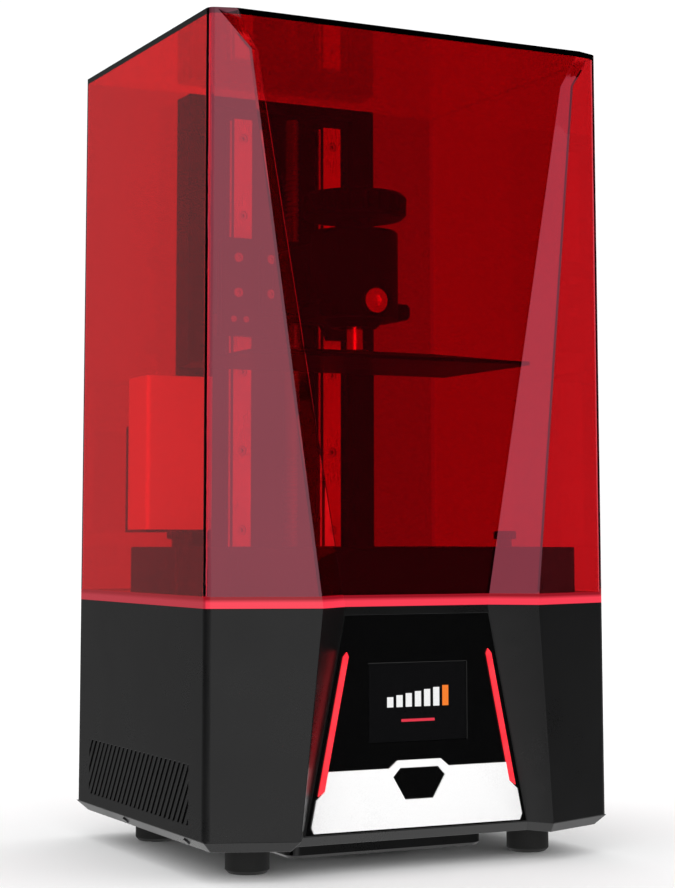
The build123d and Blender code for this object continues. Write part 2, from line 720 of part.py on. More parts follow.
def grips(x, y, z, ring, radius, count):
    """Upright cutters on a ring, which leave finger grips in a head."""
    cutters = []
    for index in range(count):
        turn = 2 * pi * index / count
        spot = (x + ring * cos(turn), y + ring * sin(turn))
        cutters.append(rod(*spot, (z[0] - 1, z[1] + 1), radius))
    return cutters


def make_thumbscrews():
    for side, name in ((-1, "left"), (1, "right")):
        x = side * THUMB_X
        screw = rod(x, THUMB_Y, (DECK_Z, THUMB_Z[0]), THUMB_SHANK_R)
        screw += rod(x, THUMB_Y, THUMB_Z[:2], THUMB_NECK_R)
        head = chamfer(rod(x, THUMB_Y, THUMB_Z[1:], THUMB_HEAD_R).edges(), 0.8)
        head -= grips(x, THUMB_Y, THUMB_Z[1:], THUMB_HEAD_R + 0.7, THUMB_GRIP_R, THUMB_GRIPS)
        keep(f"vat_thumbscrew_{name}", screw + head)


# ---- Lift ----

def make_tower():
    """Hollow column with a channel down its front for the rails."""
    column = centred(TOWER_HALF, TOWER_Y, (WAIST_Z, TOWER_TOP_Z))
    corners = column.edges().filter_by(Axis.Y).group_by(Axis.Z)[-1]
    column = fillet(corners, TOWER_CORNER_R)
    web, back_wall, top_wall = TOWER_WALLS
    inside_z = (WAIST_Z - 1, TOWER_TOP_Z - top_wall)
    column -= centred(CHANNEL_HALF, (TOWER_Y[0] - 1, CHANNEL_Y), inside_z)
    hollow_y = (CHANNEL_Y + web, TOWER_Y[1] - back_wall)
    column -= centred(CHANNEL_HALF - back_wall, hollow_y, inside_z)
    keep("tower_column", column)


def make_rails():
    for x, name in ((-RAIL_X, "left"), (RAIL_X, "right")):
        half = RAIL_SIZE / 2
        front, back = CHANNEL_Y - RAIL_SIZE, CHANNEL_Y
        rail = block(span(x, half), (front, back), RAIL_Z)
        groove_from, groove_to, groove_deep = RAIL_GROOVE
        for side in (-1, 1):
            groove_x = sorted((x + side * (half - groove_deep), x + side * (half + 1)))
            rail -= block(groove_x, (front + groove_from, front + groove_to), RAIL_Z)
        bore_r, bore_deep = RAIL_COUNTERBORE
        for index in range(RAIL_HOLES):
            z = RAIL_FIRST_Z + index * RAIL_PITCH
            rail -= rod_y(x, (front - 1, front + bore_deep), z, bore_r)
            rail -= rod_y(x, (front, back + 1), z, RAIL_BORE_R)
        keep(f"rail_{name}", rail)


def socket_head(x, y, z, radius, height):
    """Cap screw seen from the front: a round head with a hexagon socket, its seat at depth y."""
    head = rod_y(x, (y - height, y), z, radius)
    socket = Pos(x, y - height, z) * Rot(90, 0, 0) * RegularPolygon(radius * 0.5, 6)
    return head - extrude(socket, height * 0.6, both=True)


def make_rail_screws():
    seat = CHANNEL_Y - RAIL_SIZE + RAIL_COUNTERBORE[1]
    head_r, head_height, shank_r = RAIL_SCREW
    screws = []
    for x in (-RAIL_X, RAIL_X):
        for index in range(RAIL_HOLES):
            z = RAIL_FIRST_Z + index * RAIL_PITCH
            shank = rod_y(x, (seat, CHANNEL_Y), z, shank_r)
            screws.append(socket_head(x, seat, z, head_r, head_height) + shank)
    keep("rail_screws", Compound(children=screws))


def make_rail_blocks():
    """Carriers that run on the rails, each with a slot that clears its rail all round."""
    half = RAIL_SIZE / 2
    rail_front = CHANNEL_Y - RAIL_SIZE
    tongue_y = (rail_front + RAIL_GROOVE[0] + 0.5, rail_front + RAIL_GROOVE[1] - 0.5)
    for x, name in ((-RAIL_X, "left"), (RAIL_X, "right")):
        carrier = block(span(x, BLOCK_WIDTH / 2), (CARRIAGE_Y[1], CHANNEL_Y - 4), BLOCK_Z)
        carrier = chamfer(carrier.edges().filter_by(Axis.Z), 1)
        slot = block(span(x, half + BLOCK_GAP), (rail_front - BLOCK_GAP, CHANNEL_Y), BLOCK_Z)
        for side in (-1, 1):
            tip = x + side * (half - RAIL_GROOVE[2] + 0.4)
            slot -= block(sorted((tip, x + side * (half + 1))), tongue_y, BLOCK_Z)
        keep(f"rail_block_{name}", carrier - slot)


def bolt_spots():
    """Centres of the bolts that hold the carriage plate to the rail blocks."""
    middle = (BLOCK_Z[0] + BLOCK_Z[1]) / 2
    half = BOLT_SPACING / 2
    rows = (middle - half, middle + half)
    return [(x + side * half, z) for x in (-RAIL_X, RAIL_X) for side in (-1, 1) for z in rows]


def make_carriage_plate():
    low, middle, high = CARRIAGE_Z
    inner, outer = CARRIAGE_NOTCH
    corners = [(inner, middle), (outer, low), (CARRIAGE_HALF, low), (CARRIAGE_HALF, high)]
    plate = slab_y(mirrored(corners), CARRIAGE_Y)
    plate = fillet(plate.edges().filter_by(Axis.Y).group_by(Axis.Z)[-1], CARRIAGE_CORNER_R)
    keep("carriage_plate", plate)


def make_carriage_bolts():
    seat = CARRIAGE_Y[0]
    heads = [socket_head(x, seat, z, BOLT_R, BOLT_HEIGHT) for x, z in bolt_spots()]
    offset, radius, height = FLAG_SCREW
    for x in (FLAG_X - offset, FLAG_X + offset):
        heads.append(socket_head(x, seat, FLAG_SCREW_Z, radius, height))
    keep("carriage_bolts", Compound(children=heads))


def make_limit_switch():
    """Flag on the carriage, and the forked sensor that it meets at the bottom of the travel."""
    back = CARRIAGE_Y[1]
    sheet_y = (back, back + FLAG_SHEET)
    blade_x = (FLAG_X - 17, FLAG_X - 17 + FLAG_SHEET)
    flag = block((blade_x[0], FLAG_X + 9), sheet_y, span(FLAG_SCREW_Z, 4))
    flag += block(blade_x, (back, back + 12), (CARRIAGE_Z[0], FLAG_SCREW_Z + 4))
    keep("limit_flag", flag)
    sensor = block((blade_x[0] - 5, blade_x[1] + 4.9), (back + 5, TOWER_Y[0]), (192, 211))
    fork_x = (blade_x[0] - 1.5, blade_x[1] + 1.5)
    sensor -= block(fork_x, (back + 4, back + 13), (197, 212))
    keep("limit_sensor", sensor)


def make_lead_screw():
    screw = rod(0, LEAD_Y, (DECK_Z, LEAD_TOP_Z), LEAD_R)
    screw = chamfer(screw.edges().sort_by(Axis.Z)[-1], LEAD_CHAMFER)
    screw += rod(0, LEAD_Y, (DECK_Z - JOURNAL_LONG, DECK_Z), JOURNAL_R)
    keep("lead_screw", screw)


def make_lift_motor():
    half = MOTOR_SIZE / 2
    motor = centred(half, span(LEAD_Y, half), (DECK_Z - MOTOR_LONG, DECK_Z))
    motor = chamfer(motor.edges().filter_by(Axis.Z), MOTOR_CHAMFER)
    motor -= rod(0, LEAD_Y, (DECK_Z - JOURNAL_LONG - 1, DECK_Z + 1), JOURNAL_R + RUNNING_FIT)
    keep("lift_motor", motor)


def make_lead_nut():
    """Block on the back of the carriage plate, with a collar round the screw."""
    low, high = NUT_Z
    nut = centred(NUT_HALF, (CARRIAGE_Y[1], LEAD_Y + NUT_R), NUT_Z)
    collar = rod(0, LEAD_Y, (low - NUT_COLLAR, high), NUT_R)
    nut += collar - centred(NUT_HALF, CARRIAGE_Y, (low - NUT_COLLAR - 1, high + 1))
    nut -= rod(0, LEAD_Y, (low - NUT_COLLAR - 1, high + 1), LEAD_R + RUNNING_FIT)
    keep("lead_nut", nut)


# ---- Platform and its head ----

def make_head():
    """Round head at the end of the arm, with the ball joint's cavity in its foot."""
    low, high = HEAD_Z
    head = rod(0, PLATE_CENTRE_Y, HEAD_Z, HEAD_R)
    head = chamfer(head.faces().sort_by(Axis.Z)[-1].edges(), HEAD_CHAMFER)
    ears = centred(EAR_HALF[0], span(PLATE_CENTRE_Y, EAR_HALF[1]), (low, low + EAR_HEIGHT))
    head += chamfer(ears.edges().filter_by(Axis.Y), EAR_CHAMFER)
    foot_r, top_r, height = SKIRT
    head += Pos(0, PLATE_CENTRE_Y, low - height / 2) * Cone(foot_r, top_r, height)
    head -= rod(0, PLATE_CENTRE_Y, (low - height - 2, BALL_Z), SOCKET_R)
    head -= Pos(0, PLATE_CENTRE_Y, BALL_Z) * Sphere(SOCKET_R)
    head -= rod(0, PLATE_CENTRE_Y, (KNOB_STUD_Z - 2, high + 1), KNOB_STUD_R + RUNNING_FIT)
    spot_y = PLATE_CENTRE_Y - HEAD_R + CLAMP_SPOT_DEEP
    head -= rod_y(0, (spot_y - CLAMP_SPOT_R, spot_y), CLAMP_Z, CLAMP_SPOT_R)
    keep("clamp_head", head)
    keep("clamp_screw", socket_head(0, spot_y, CLAMP_Z, *CLAMP_SCREW))


def make_arm():
    """Arm from the carriage plate to the head, with a flange where it meets the plate."""
    plate_y = CARRIAGE_Y[0]
    arm = centred(ARM_HALF, (PLATE_CENTRE_Y, plate_y), ARM_Z)
    arm = fillet(arm.edges().filter_by(Axis.Y), ARM_EDGE_R)
    flange = centred(ARM_HALF + FLANGE_MARGIN, (plate_y - FLANGE_THICK, plate_y), FLANGE_Z)
    arm += fillet(flange.edges().filter_by(Axis.Y), FLANGE_EDGE_R)
    for x, z in bolt_spots():
        arm -= rod_y(x, (plate_y - FLANGE_THICK - 1, plate_y + 1), z, FLANGE_BORE_R)
    arm -= PARTS["clamp_head"]
    keep("cantilever_arm", arm.solids().sort_by(Axis.Y)[-1])


def make_knob():
    """Round hand knob whose stud goes down into the head."""
    knob = chamfer(rod(0, PLATE_CENTRE_Y, KNOB_Z, KNOB_R).edges(), KNOB_CHAMFER)
    outside, radius = KNOB_GRIP
    knob -= grips(0, PLATE_CENTRE_Y, KNOB_Z, KNOB_R + outside, radius, KNOB_GRIPS)
    knob += rod(0, PLATE_CENTRE_Y, (HEAD_Z[1], KNOB_Z[0]), KNOB_NECK_R)
    knob += rod(0, PLATE_CENTRE_Y, (KNOB_STUD_Z, HEAD_Z[1]), KNOB_STUD_R)
    keep("locking_knob", knob)


def make_ball_joint():
    """Split seat that the clamp screw squeezes, and the ball stud that it holds."""
    centre = Pos(0, PLATE_CENTRE_Y, BALL_Z)
    inner, outer = SEAT_R
    seat = centre * Sphere(outer) - centre * Sphere(inner)
    seat &= rod(0, PLATE_CENTRE_Y, span(BALL_Z, SEAT_HALF_HEIGHT), outer + 1)
    keep("ball_seat", seat)
    foot_r, foot_height = STEM_FOOT
    low = PLATE_Z[2]
    stud = centre * Sphere(BALL_R) + rod(0, PLATE_CENTRE_Y, (low, BALL_Z), STEM_R)
    foot = rod(0, PLATE_CENTRE_Y, (low, low + foot_height), foot_r)
    stud += chamfer(foot.edges().sort_by(Axis.Z)[-1], 1)
    keep("ball_stud", stud)


def make_build_plate():
    """Flat plate, thin at its edges, that rises to a pad in the middle."""
    slab = extrude(rectangle(*PLATE_HALF, PLATE_Z[0]), PLATE_Z[1] - PLATE_Z[0])
    slab = fillet(slab.edges().filter_by(Axis.Z), PLATE_CORNER_R)
    crown_foot = rectangle(*[half - PLATE_STEP for half in PLATE_HALF], PLATE_Z[1])
    crown = loft([crown_foot, rectangle(*PLATE_PAD_HALF, PLATE_Z[2])])
    keep("build_plate", slab + crown)


# ---- Purifier ----

def make_purifier():
    body = block(PURIFIER_X, PURIFIER_Y, PURIFIER_Z)
    body = fillet(body.edges().filter_by(Axis.Z), PURIFIER_EDGE_R[0])
    body = fillet(body.faces().sort_by(Axis.Z)[-1].edges(), PURIFIER_EDGE_R[1])
    middle = (PURIFIER_X[0] + PURIFIER_X[1]) / 2
    high = PURIFIER_Z[1]
    well_x = span(middle, WELL_HALF)
    well_y = (PURIFIER_Y[0] + WELL_WALL, PURIFIER_Y[1] - WELL_WALL)
    body -= block(well_x, well_y, (high - WELL_DEEP, high + 1))
    keep("purifier_body", body)
    grille = block(well_x, well_y, GRILLE_Z)
    for index in steps(GRILLE_SLOTS):
        slot_x = span(middle + index * GRILLE_PITCH, GRILLE_SLOT_HALF)
        grille -= block(slot_x, (well_y[0] + 3, well_y[1] - 3), (GRILLE_Z[0] - 1, GRILLE_Z[1] + 1))
    keep("purifier_grille", grille)
    keep("purifier_filter", block(well_x, well_y, (high - WELL_DEEP, FILTER_TOP_Z)))


def make_purifier_bracket():
    """Bent sheet: a shelf, a back, and a flange on the tower's side."""
    shelf_z = (PURIFIER_Z[0] - SHEET, PURIFIER_Z[0])
    back_y = (PURIFIER_Y[1], PURIFIER_Y[1] + SHEET)
    wall_x = (-TOWER_HALF - SHEET, -TOWER_HALF)
    top = PURIFIER_Z[0] + BRACKET_HEIGHT
    bracket = block((PURIFIER_X[0], wall_x[1]), (PURIFIER_Y[0], back_y[1]), shelf_z)
    bracket += block((PURIFIER_X[0], wall_x[1]), back_y, (shelf_z[0], top))
    bracket += block(wall_x, (back_y[0], TOWER_Y[1] - 4), (shelf_z[0], top))
    keep("purifier_bracket", bracket)


# ---- Cover ----

def make_cover():
    outer = skin(RIM_TOP_Z, HEIGHT)
    inner = skin(RIM_TOP_Z, HEIGHT - COVER_TOP, COVER_WALL)
    keep("cover_shell", outer - inner)
    keep("cover_rim", skin(WAIST_Z, RIM_TOP_Z) - skin(WAIST_Z, RIM_TOP_Z, RIM_WIDTH, RIM_WIDTH))


def main():
    make_base_shell()
    make_bottom_pan()
    make_intake_cover()
    make_feet()
    make_case_screws()
    make_front_fascia()
    make_screen()
    make_accent_strips()
    make_lower_trim()
    make_deck()
    make_light_hood()
    make_light_source()
    make_fans()
    make_mainboard()
    make_rear_panel()
    make_power_switch()
    make_power_inlet()
    make_usb_socket()
    make_vat()
    make_thumbscrews()
    make_tower()
    make_rails()
    make_rail_screws()
    make_rail_blocks()
    make_carriage_plate()
    make_carriage_bolts()
    make_limit_switch()
    make_lead_screw()
    make_lift_motor()
    make_lead_nut()
    make_head()
    make_arm()
    make_knob()
    make_ball_joint()
    make_build_plate()
    make_purifier()
    make_purifier_bracket()
    make_cover()
    os.makedirs("parts", exist_ok=True)
    for node, shape in PARTS.items():
        export_step(shape, f"parts/{node}.step")


main()
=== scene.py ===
import math

import bmesh
import bpy
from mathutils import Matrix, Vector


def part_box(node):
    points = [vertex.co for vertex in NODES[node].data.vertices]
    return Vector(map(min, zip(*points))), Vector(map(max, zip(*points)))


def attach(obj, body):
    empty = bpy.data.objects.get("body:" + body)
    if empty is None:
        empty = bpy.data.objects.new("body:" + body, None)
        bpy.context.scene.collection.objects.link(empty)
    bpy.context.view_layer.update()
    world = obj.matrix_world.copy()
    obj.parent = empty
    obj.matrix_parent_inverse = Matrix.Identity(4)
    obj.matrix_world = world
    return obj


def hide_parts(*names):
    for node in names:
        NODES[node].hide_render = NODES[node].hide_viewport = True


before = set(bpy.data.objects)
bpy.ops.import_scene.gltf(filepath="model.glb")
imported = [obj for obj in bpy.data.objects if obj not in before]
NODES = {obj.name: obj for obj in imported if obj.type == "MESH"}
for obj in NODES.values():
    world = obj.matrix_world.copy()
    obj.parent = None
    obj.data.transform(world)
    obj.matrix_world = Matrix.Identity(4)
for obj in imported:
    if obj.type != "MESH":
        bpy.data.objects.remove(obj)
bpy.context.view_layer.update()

# Looks of the desktop resin printer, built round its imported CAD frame. Metres, X right, Y back, Z up.

MM = 0.001

# ---- Places read from the frame ----
RIM_LOW, RIM_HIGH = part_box("cover_rim")
GLASS_LOW, GLASS_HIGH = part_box("screen_glass")
SCREW_LOW, SCREW_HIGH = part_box("lead_screw")

# ---- Camera: front left of the machine, a little above the floor, looking slightly up ----
CAMERA_PLACE = (-0.6603, -1.3047, 0.2168)
CAMERA_TURN = (96.08, 0.0, -26.34)
CAMERA_LENS = 81.3
CAMERA_SHIFT = (0.0162, -0.133)

# ---- Colours, linear ----
# Painted light and shade: the cover's red by which way a face turns, lighter on side faces, deeper on front
# faces, its own red on the back half.
COVER_SIDE = (0.83, 0.030, 0.046)
COVER_FRONT = (0.290, 0.003, 0.014)
COVER_FRONT_RIGHT = (0.60, 0.105, 0.125)
COVER_BACK = (0.54, 0.024, 0.042)
# Painted sheen: the glow on the cover's front-facing left slants, in place of reflected light.
COVER_PAINTED_SHEEN = (0.124, 0.0270, 0.041)
# Red of the display's own light, also the cover rim's painted glow; the next red is the rim's dim painted
# glow on its upper half.
SCREEN_RED_AND_PAINTED_RIM_GLOW = (1.0, 0.040, 0.080)
RIM_PAINTED_DIM_GLOW = (0.30, 0.004, 0.012)
ORANGE = (1.0, 0.22, 0.02)


# ---- How far a face has to turn to count as front, left or right: its normal's start and end values ----
# These turns set where the cover's painted shade, painted sheen and the rim's painted glow change.
FRONT_TURN = (-0.60, -0.50)
RIM_FRONT_TURN = (-0.60, -0.40)
LEFT_TURN = (-0.28, -0.22)
RIGHT_TURN = (0.10, 0.20)
BACK_HALF = (-0.001, 0.001)
# Share of the rim's painted glow kept on faces turned off the front.
RIM_SIDE_PAINTED_GLOW = 0.45

# ---- Small tools for materials ----

def new_material(name):
    """A material with one Principled shader. Returns it, its tree and the shader."""
    material = bpy.data.materials.new(name)
    material.use_nodes = True
    tree = material.node_tree
    return material, tree, tree.nodes["Principled BSDF"]


def set_inputs(shader, **values):
    """Plain values on the shader's own sockets, with _ for each space in a socket's name."""
    for key, value in values.items():
        socket = shader.inputs[key.replace("_", " ")]
        if isinstance(value, tuple) and len(value) == 3:
            value = (*value, 1.0)
        socket.default_value = value


def place(tree, stretch=(1.0, 1.0, 1.0)):
    """The surface's own coordinates in metres, stretched along each axis."""
    coordinates = tree.nodes.new("ShaderNodeTexCoord")
    mapping = tree.nodes.new("ShaderNodeMapping")
    mapping.inputs["Scale"].default_value = stretch
    tree.links.new(coordinates.outputs["Object"], mapping.inputs["Vector"])
    return mapping.outputs["Vector"]


def noise(tree, size, detail=2.0, stretch=(1.0, 1.0, 1.0)):
    """Noise whose blobs are about size metres across, as a 0 to 1 value."""
    node = tree.nodes.new("ShaderNodeTexNoise")
    node.inputs["Scale"].default_value = 1.0 / size
    node.inputs["Detail"].default_value = detail
    tree.links.new(place(tree, stretch), node.inputs["Vector"])
    return node.outputs["Fac"]


def spread(tree, value, low, high, start=0.3, end=0.7):
    """A value mapped from start..end to low..high."""
    node = tree.nodes.new("ShaderNodeMapRange")
    node.inputs["From Min"].default_value = start
    node.inputs["From Max"].default_value = end
    node.inputs["To Min"].default_value = low
    node.inputs["To Max"].default_value = high
    tree.links.new(value, node.inputs["Value"])
    return node.outputs["Result"]


def blend_colours(tree, share, first, second):
    """Colour that goes from first to second as share goes from 0 to 1."""
    node = tree.nodes.new("ShaderNodeMix")
    node.data_type = "RGBA"
    tree.links.new(share, node.inputs["Factor"])
    for name, colour in (("A", first), ("B", second)):
        socket = [s for s in node.inputs if s.name == name and s.type == "RGBA"][0]
        if isinstance(colour, tuple):
            socket.default_value = (*colour, 1.0)
        else:
            tree.links.new(colour, socket)
    return [s for s in node.outputs if s.type == "RGBA"][0]


def multiply(tree, first, second):
    """Product of two values."""
    node = tree.nodes.new("ShaderNodeMath")
    node.operation = "MULTIPLY"
    tree.links.new(first, node.inputs[0])
    tree.links.new(second, node.inputs[1])
    return node.outputs[0]


def relief(tree, shader, height, depth):
    """Bump from a 0 to 1 height that stands for depth metres."""
    bump = tree.nodes.new("ShaderNodeBump")
    bump.inputs["Distance"].default_value = depth
    tree.links.new(height, bump.inputs["Height"])
    tree.links.new(bump.outputs["Normal"], shader.inputs["Normal"])


def facing(tree):
    """The X, Y and Z of the way a surface faces. Cycles turns it round where it is seen from behind."""
    geometry = tree.nodes.new("ShaderNodeNewGeometry")
    split = tree.nodes.new("ShaderNodeSeparateXYZ")
    tree.links.new(geometry.outputs["True Normal"], split.inputs["Vector"])
    return split.outputs


def finish_surface(name, colours, grain, rough, depth, stretch=(1, 1, 1), smudge=0.05, **values):
    """A surface with grain of one size in its colour, roughness and relief, and broad faint smudges."""
    material, tree, shader = new_material(name)
    fine = noise(tree, grain, 3.0, stretch)
    broad = noise(tree, smudge, 2.0)
    tree.links.new(
        blend_colours(tree, spread(tree, fine, 0.0, 1.0), colours[0], colours[1]),
        shader.inputs["Base Color"],
    )
    middle = (rough[0] + rough[1]) / 2
    low = spread(tree, broad, rough[0] - middle, rough[1] - middle)
    total = tree.nodes.new("ShaderNodeMath")
    total.operation = "ADD"
    tree.links.new(low, total.inputs[0])
    tree.links.new(spread(tree, fine, middle - 0.02, middle + 0.02), total.inputs[1])
    tree.links.new(total.outputs[0], shader.inputs["Roughness"])
    relief(tree, shader, fine, depth)
    set_inputs(shader, **values)
    return material


# ---- Materials ----

def black_enamel():
    """Satin black powder coat: a fine orange peel and almost no colour."""
    return finish_surface("black_enamel", ((0.0046, 0.0046, 0.0049), (0.0060, 0.0060, 0.0063)),
                          0.0009, (0.27, 0.33), 0.000012, Specular_IOR_Level=0.5)


def black_anodised():
    return finish_surface("black_anodised", ((0.0030, 0.0030, 0.0032), (0.0044, 0.0042, 0.0044)),
                          0.0004, (0.42, 0.50), 0.000008, Specular_IOR_Level=0.05)


def brushed_black():
    """Anodised sheet with the grain of its brushing along X."""
    return finish_surface("brushed_black", ((0.0038, 0.0036, 0.0038), (0.0065, 0.0060, 0.0062)),
                          0.0003, (0.38, 0.46), 0.000010, stretch=(0.03, 1, 1), Specular_IOR_Level=0.08)


def gloss_black():
    """Piano black plastic under a clear coat."""
    return finish_surface("gloss_black", ((0.0020, 0.0020, 0.0021), (0.0026, 0.0026, 0.0027)),
                          0.004, (0.06, 0.10), 0.000003, Coat_Weight=0.6, Coat_Roughness=0.03)


def white_trim():
    return finish_surface("white_trim", ((0.92, 0.92, 0.92), (0.95, 0.95, 0.95)),
                          0.0006, (0.26, 0.32), 0.000008, Coat_Weight=0.3, Coat_Roughness=0.1)


def red_light():
    """Light strip: a red diffuser lit from behind, slightly cloudy."""
    material, tree, shader = new_material("red_light")
    cloud = noise(tree, 0.012, 2.0)
    tree.links.new(
        blend_colours(tree, spread(tree, cloud, 0.0, 1.0), (1.0, 0.020, 0.035), (1.0, 0.045, 0.060)),
        shader.inputs["Emission Color"],
    )
    relief(tree, shader, noise(tree, 0.0012, 2.0), 0.00001)
    set_inputs(shader, Base_Color=(0.55, 0.01, 0.02), Roughness=0.22, Emission_Strength=0.85)
    return material


def cover_acrylic():
    """Clear red acrylic. A faint glow on its front-facing left slants is a painted sheen, emission that
    stands in for reflected light.

    Its red is painted light and shade: deeper on faces turned to the front, lighter on faces turned to the
    side, and its own red on the back half. Colour and painted sheen go by the side that is seen, so one wall
    differs between its two sides.
    """
    material, tree, shader = new_material("red_acrylic")
    normal = facing(tree)
    spot = tree.nodes.new("ShaderNodeSeparateXYZ")
    tree.links.new(place(tree), spot.inputs["Vector"])
    facing_front = spread(tree, normal["Y"], 1.0, 0.0, *FRONT_TURN)
    at_back = spread(tree, spot.outputs["Y"], 0.0, 1.0, *BACK_HALF)
    to_right = spread(tree, normal["X"], 0.0, 1.0, *RIGHT_TURN)
    to_left = spread(tree, normal["X"], 1.0, 0.0, *LEFT_TURN)
    # Painted light and shade: deeper red on faces turned to the front, lighter on faces turned to the side.
    deep = blend_colours(tree, to_right, COVER_FRONT, COVER_FRONT_RIGHT)
    deep = blend_colours(tree, at_back, deep, COVER_BACK)
    tint_and_painted_shade = blend_colours(tree, facing_front, COVER_SIDE, deep)
    cloud = spread(tree, noise(tree, 0.09, 2.0), 0.0, 0.03)
    tree.links.new(blend_colours(tree, cloud, tint_and_painted_shade, COVER_FRONT), shader.inputs["Base Color"])
    # Painted sheen: emission on front-facing left slants stands in for reflected light.
    painted_sheen = multiply(tree, to_left, facing_front)
    painted_sheen = multiply(tree, painted_sheen, spread(tree, noise(tree, 0.12, 1.0), 0.92, 1.0))
    tree.links.new(blend_colours(tree, painted_sheen, (0.0, 0.0, 0.0), COVER_PAINTED_SHEEN), shader.inputs["Emission Color"])
    set_inputs(shader, Roughness=0.0, IOR=1.45, Transmission_Weight=1.0, Specular_IOR_Level=0.3,
               Emission_Strength=1.0)
    return material


def rim_acrylic():
    """Lower band of the cover, its glow all painted light: deep red above, and below it a brighter glow,
    weaker off the front, that stands in for the lit lower half.
    """
    material, tree, shader = new_material("red_acrylic_rim")
    coordinates = tree.nodes.new("ShaderNodeTexCoord")
    split = tree.nodes.new("ShaderNodeSeparateXYZ")
    tree.links.new(coordinates.outputs["Object"], split.inputs["Vector"])
    height = RIM_HIGH.z - RIM_LOW.z
    up = spread(tree, split.outputs["Z"], 0.0, 1.0, RIM_LOW.z + 0.5 * height, RIM_LOW.z + 0.8 * height)
    normal = facing(tree)
    on_front = spread(tree, normal["Y"], 1.0, RIM_SIDE_PAINTED_GLOW, *RIM_FRONT_TURN)
    # Painted light: the rim's glow, brighter on its lower half and weaker on faces turned off the front.
    lit = blend_colours(tree, on_front, (0.0, 0.0, 0.0), SCREEN_RED_AND_PAINTED_RIM_GLOW)
    tree.links.new(blend_colours(tree, up, lit, RIM_PAINTED_DIM_GLOW), shader.inputs["Emission Color"])
    tree.links.new(
        blend_colours(tree, up, (0.06, 0.01, 0.012), (0.04, 0.002, 0.004)),
        shader.inputs["Base Color"],
    )
    relief(tree, shader, noise(tree, 0.003, 2.0), 0.00001)
    set_inputs(shader, Roughness=0.18, Emission_Strength=0.9)
    return material


def screen_glass():
    """Cover glass of the touch screen, with the faint grey of the display that is lit behind it."""
    return finish_surface("screen_glass", ((0.0038, 0.0038, 0.0042), (0.0048, 0.0048, 0.0052)),
                          0.002, (0.04, 0.07), 0.000002, Coat_Weight=1.0, Coat_Roughness=0.02)


def lcd_glass():
    return finish_surface("lcd_glass", ((0.006, 0.006, 0.008), (0.009, 0.009, 0.012)),
                          0.0003, (0.08, 0.14), 0.000002, Coat_Weight=0.5)


def clear_lens():
    material, tree, shader = new_material("clear_lens")
    relief(tree, shader, noise(tree, 0.004, 1.0), 0.00002)
    set_inputs(shader, Base_Color=(0.9, 0.93, 0.95), Roughness=0.02, IOR=1.49, Transmission_Weight=1.0)
    return material


def clear_film():
    material, tree, shader = new_material("clear_film")
    relief(tree, shader, noise(tree, 0.03, 1.0), 0.0001)
    set_inputs(shader, Base_Color=(0.92, 0.92, 0.92), Roughness=0.05, Alpha=0.25)
    return material


def ground_steel():
    """Ground steel of the rails, with the grinding marks along their length."""
    return finish_surface("ground_steel", ((0.55, 0.54, 0.53), (0.68, 0.67, 0.66)),
                          0.0004, (0.24, 0.34), 0.000006, stretch=(1, 1, 0.04), Metallic=1.0)


def thread_steel():
    """Oiled steel of the thread, darker than the ground rails."""
    return finish_surface("thread_steel", ((0.14, 0.14, 0.14), (0.24, 0.24, 0.24)),
                          0.0005, (0.22, 0.32), 0.000008, Metallic=1.0)


def carrier_steel():
    return finish_surface("carrier_steel", ((0.30, 0.30, 0.31), (0.38, 0.38, 0.39)),
                          0.0005, (0.28, 0.38), 0.000006, Metallic=1.0)


def bright_chrome():
    return finish_surface("bright_chrome", ((0.78, 0.78, 0.79), (0.84, 0.84, 0.85)),
                          0.003, (0.20, 0.26), 0.000003, Metallic=1.0)


def black_screws():
    """Black oxide on steel: dark, with worn lighter specks."""
    return finish_surface("black_screws", ((0.05, 0.05, 0.055), (0.11, 0.11, 0.115)),
                          0.0005, (0.30, 0.42), 0.00001, Metallic=0.8)


def steel_screws():
    """Zinc-plated screw heads."""
    return finish_surface("steel_screws", ((0.42, 0.42, 0.43), (0.55, 0.55, 0.56)),
                          0.0005, (0.26, 0.36), 0.000006, Metallic=1.0)


def thumb_metal():
    return finish_surface("thumb_metal", ((0.010, 0.010, 0.010), (0.016, 0.016, 0.016)),
                          0.0004, (0.28, 0.36), 0.00001, Metallic=0.3)


def knob_plastic():
    return finish_surface("knob_plastic", ((0.0040, 0.0038, 0.0038), (0.0056, 0.0052, 0.0052)),
                          0.0005, (0.45, 0.55), 0.00002, Specular_IOR_Level=0.05)


def bronze():
    return finish_surface("bronze", ((0.42, 0.24, 0.09), (0.52, 0.32, 0.13)),
                          0.0006, (0.30, 0.40), 0.00001, Metallic=1.0)


def dark_plastic():
    return finish_surface("dark_plastic", ((0.012, 0.012, 0.013), (0.018, 0.018, 0.019)),
                          0.0005, (0.45, 0.55), 0.00002)


def bare_aluminium():
    return finish_surface("bare_aluminium", ((0.62, 0.63, 0.64), (0.74, 0.75, 0.76)),
                          0.0004, (0.32, 0.44), 0.00001, stretch=(1, 0.05, 1), Metallic=1.0)


def sheet_steel():
    """Zinc-plated sheet with its broad crystals."""
    return finish_surface("sheet_steel", ((0.34, 0.35, 0.36), (0.50, 0.51, 0.52)),
                          0.004, (0.30, 0.42), 0.000006, Metallic=1.0)


def motor_case():
    """Stack of thin steel sheets, seen as fine lines round the motor."""
    return finish_surface("motor_case", ((0.10, 0.10, 0.105), (0.20, 0.20, 0.205)),
                          0.0006, (0.35, 0.45), 0.00003, stretch=(0.02, 0.02, 1), Metallic=0.9)


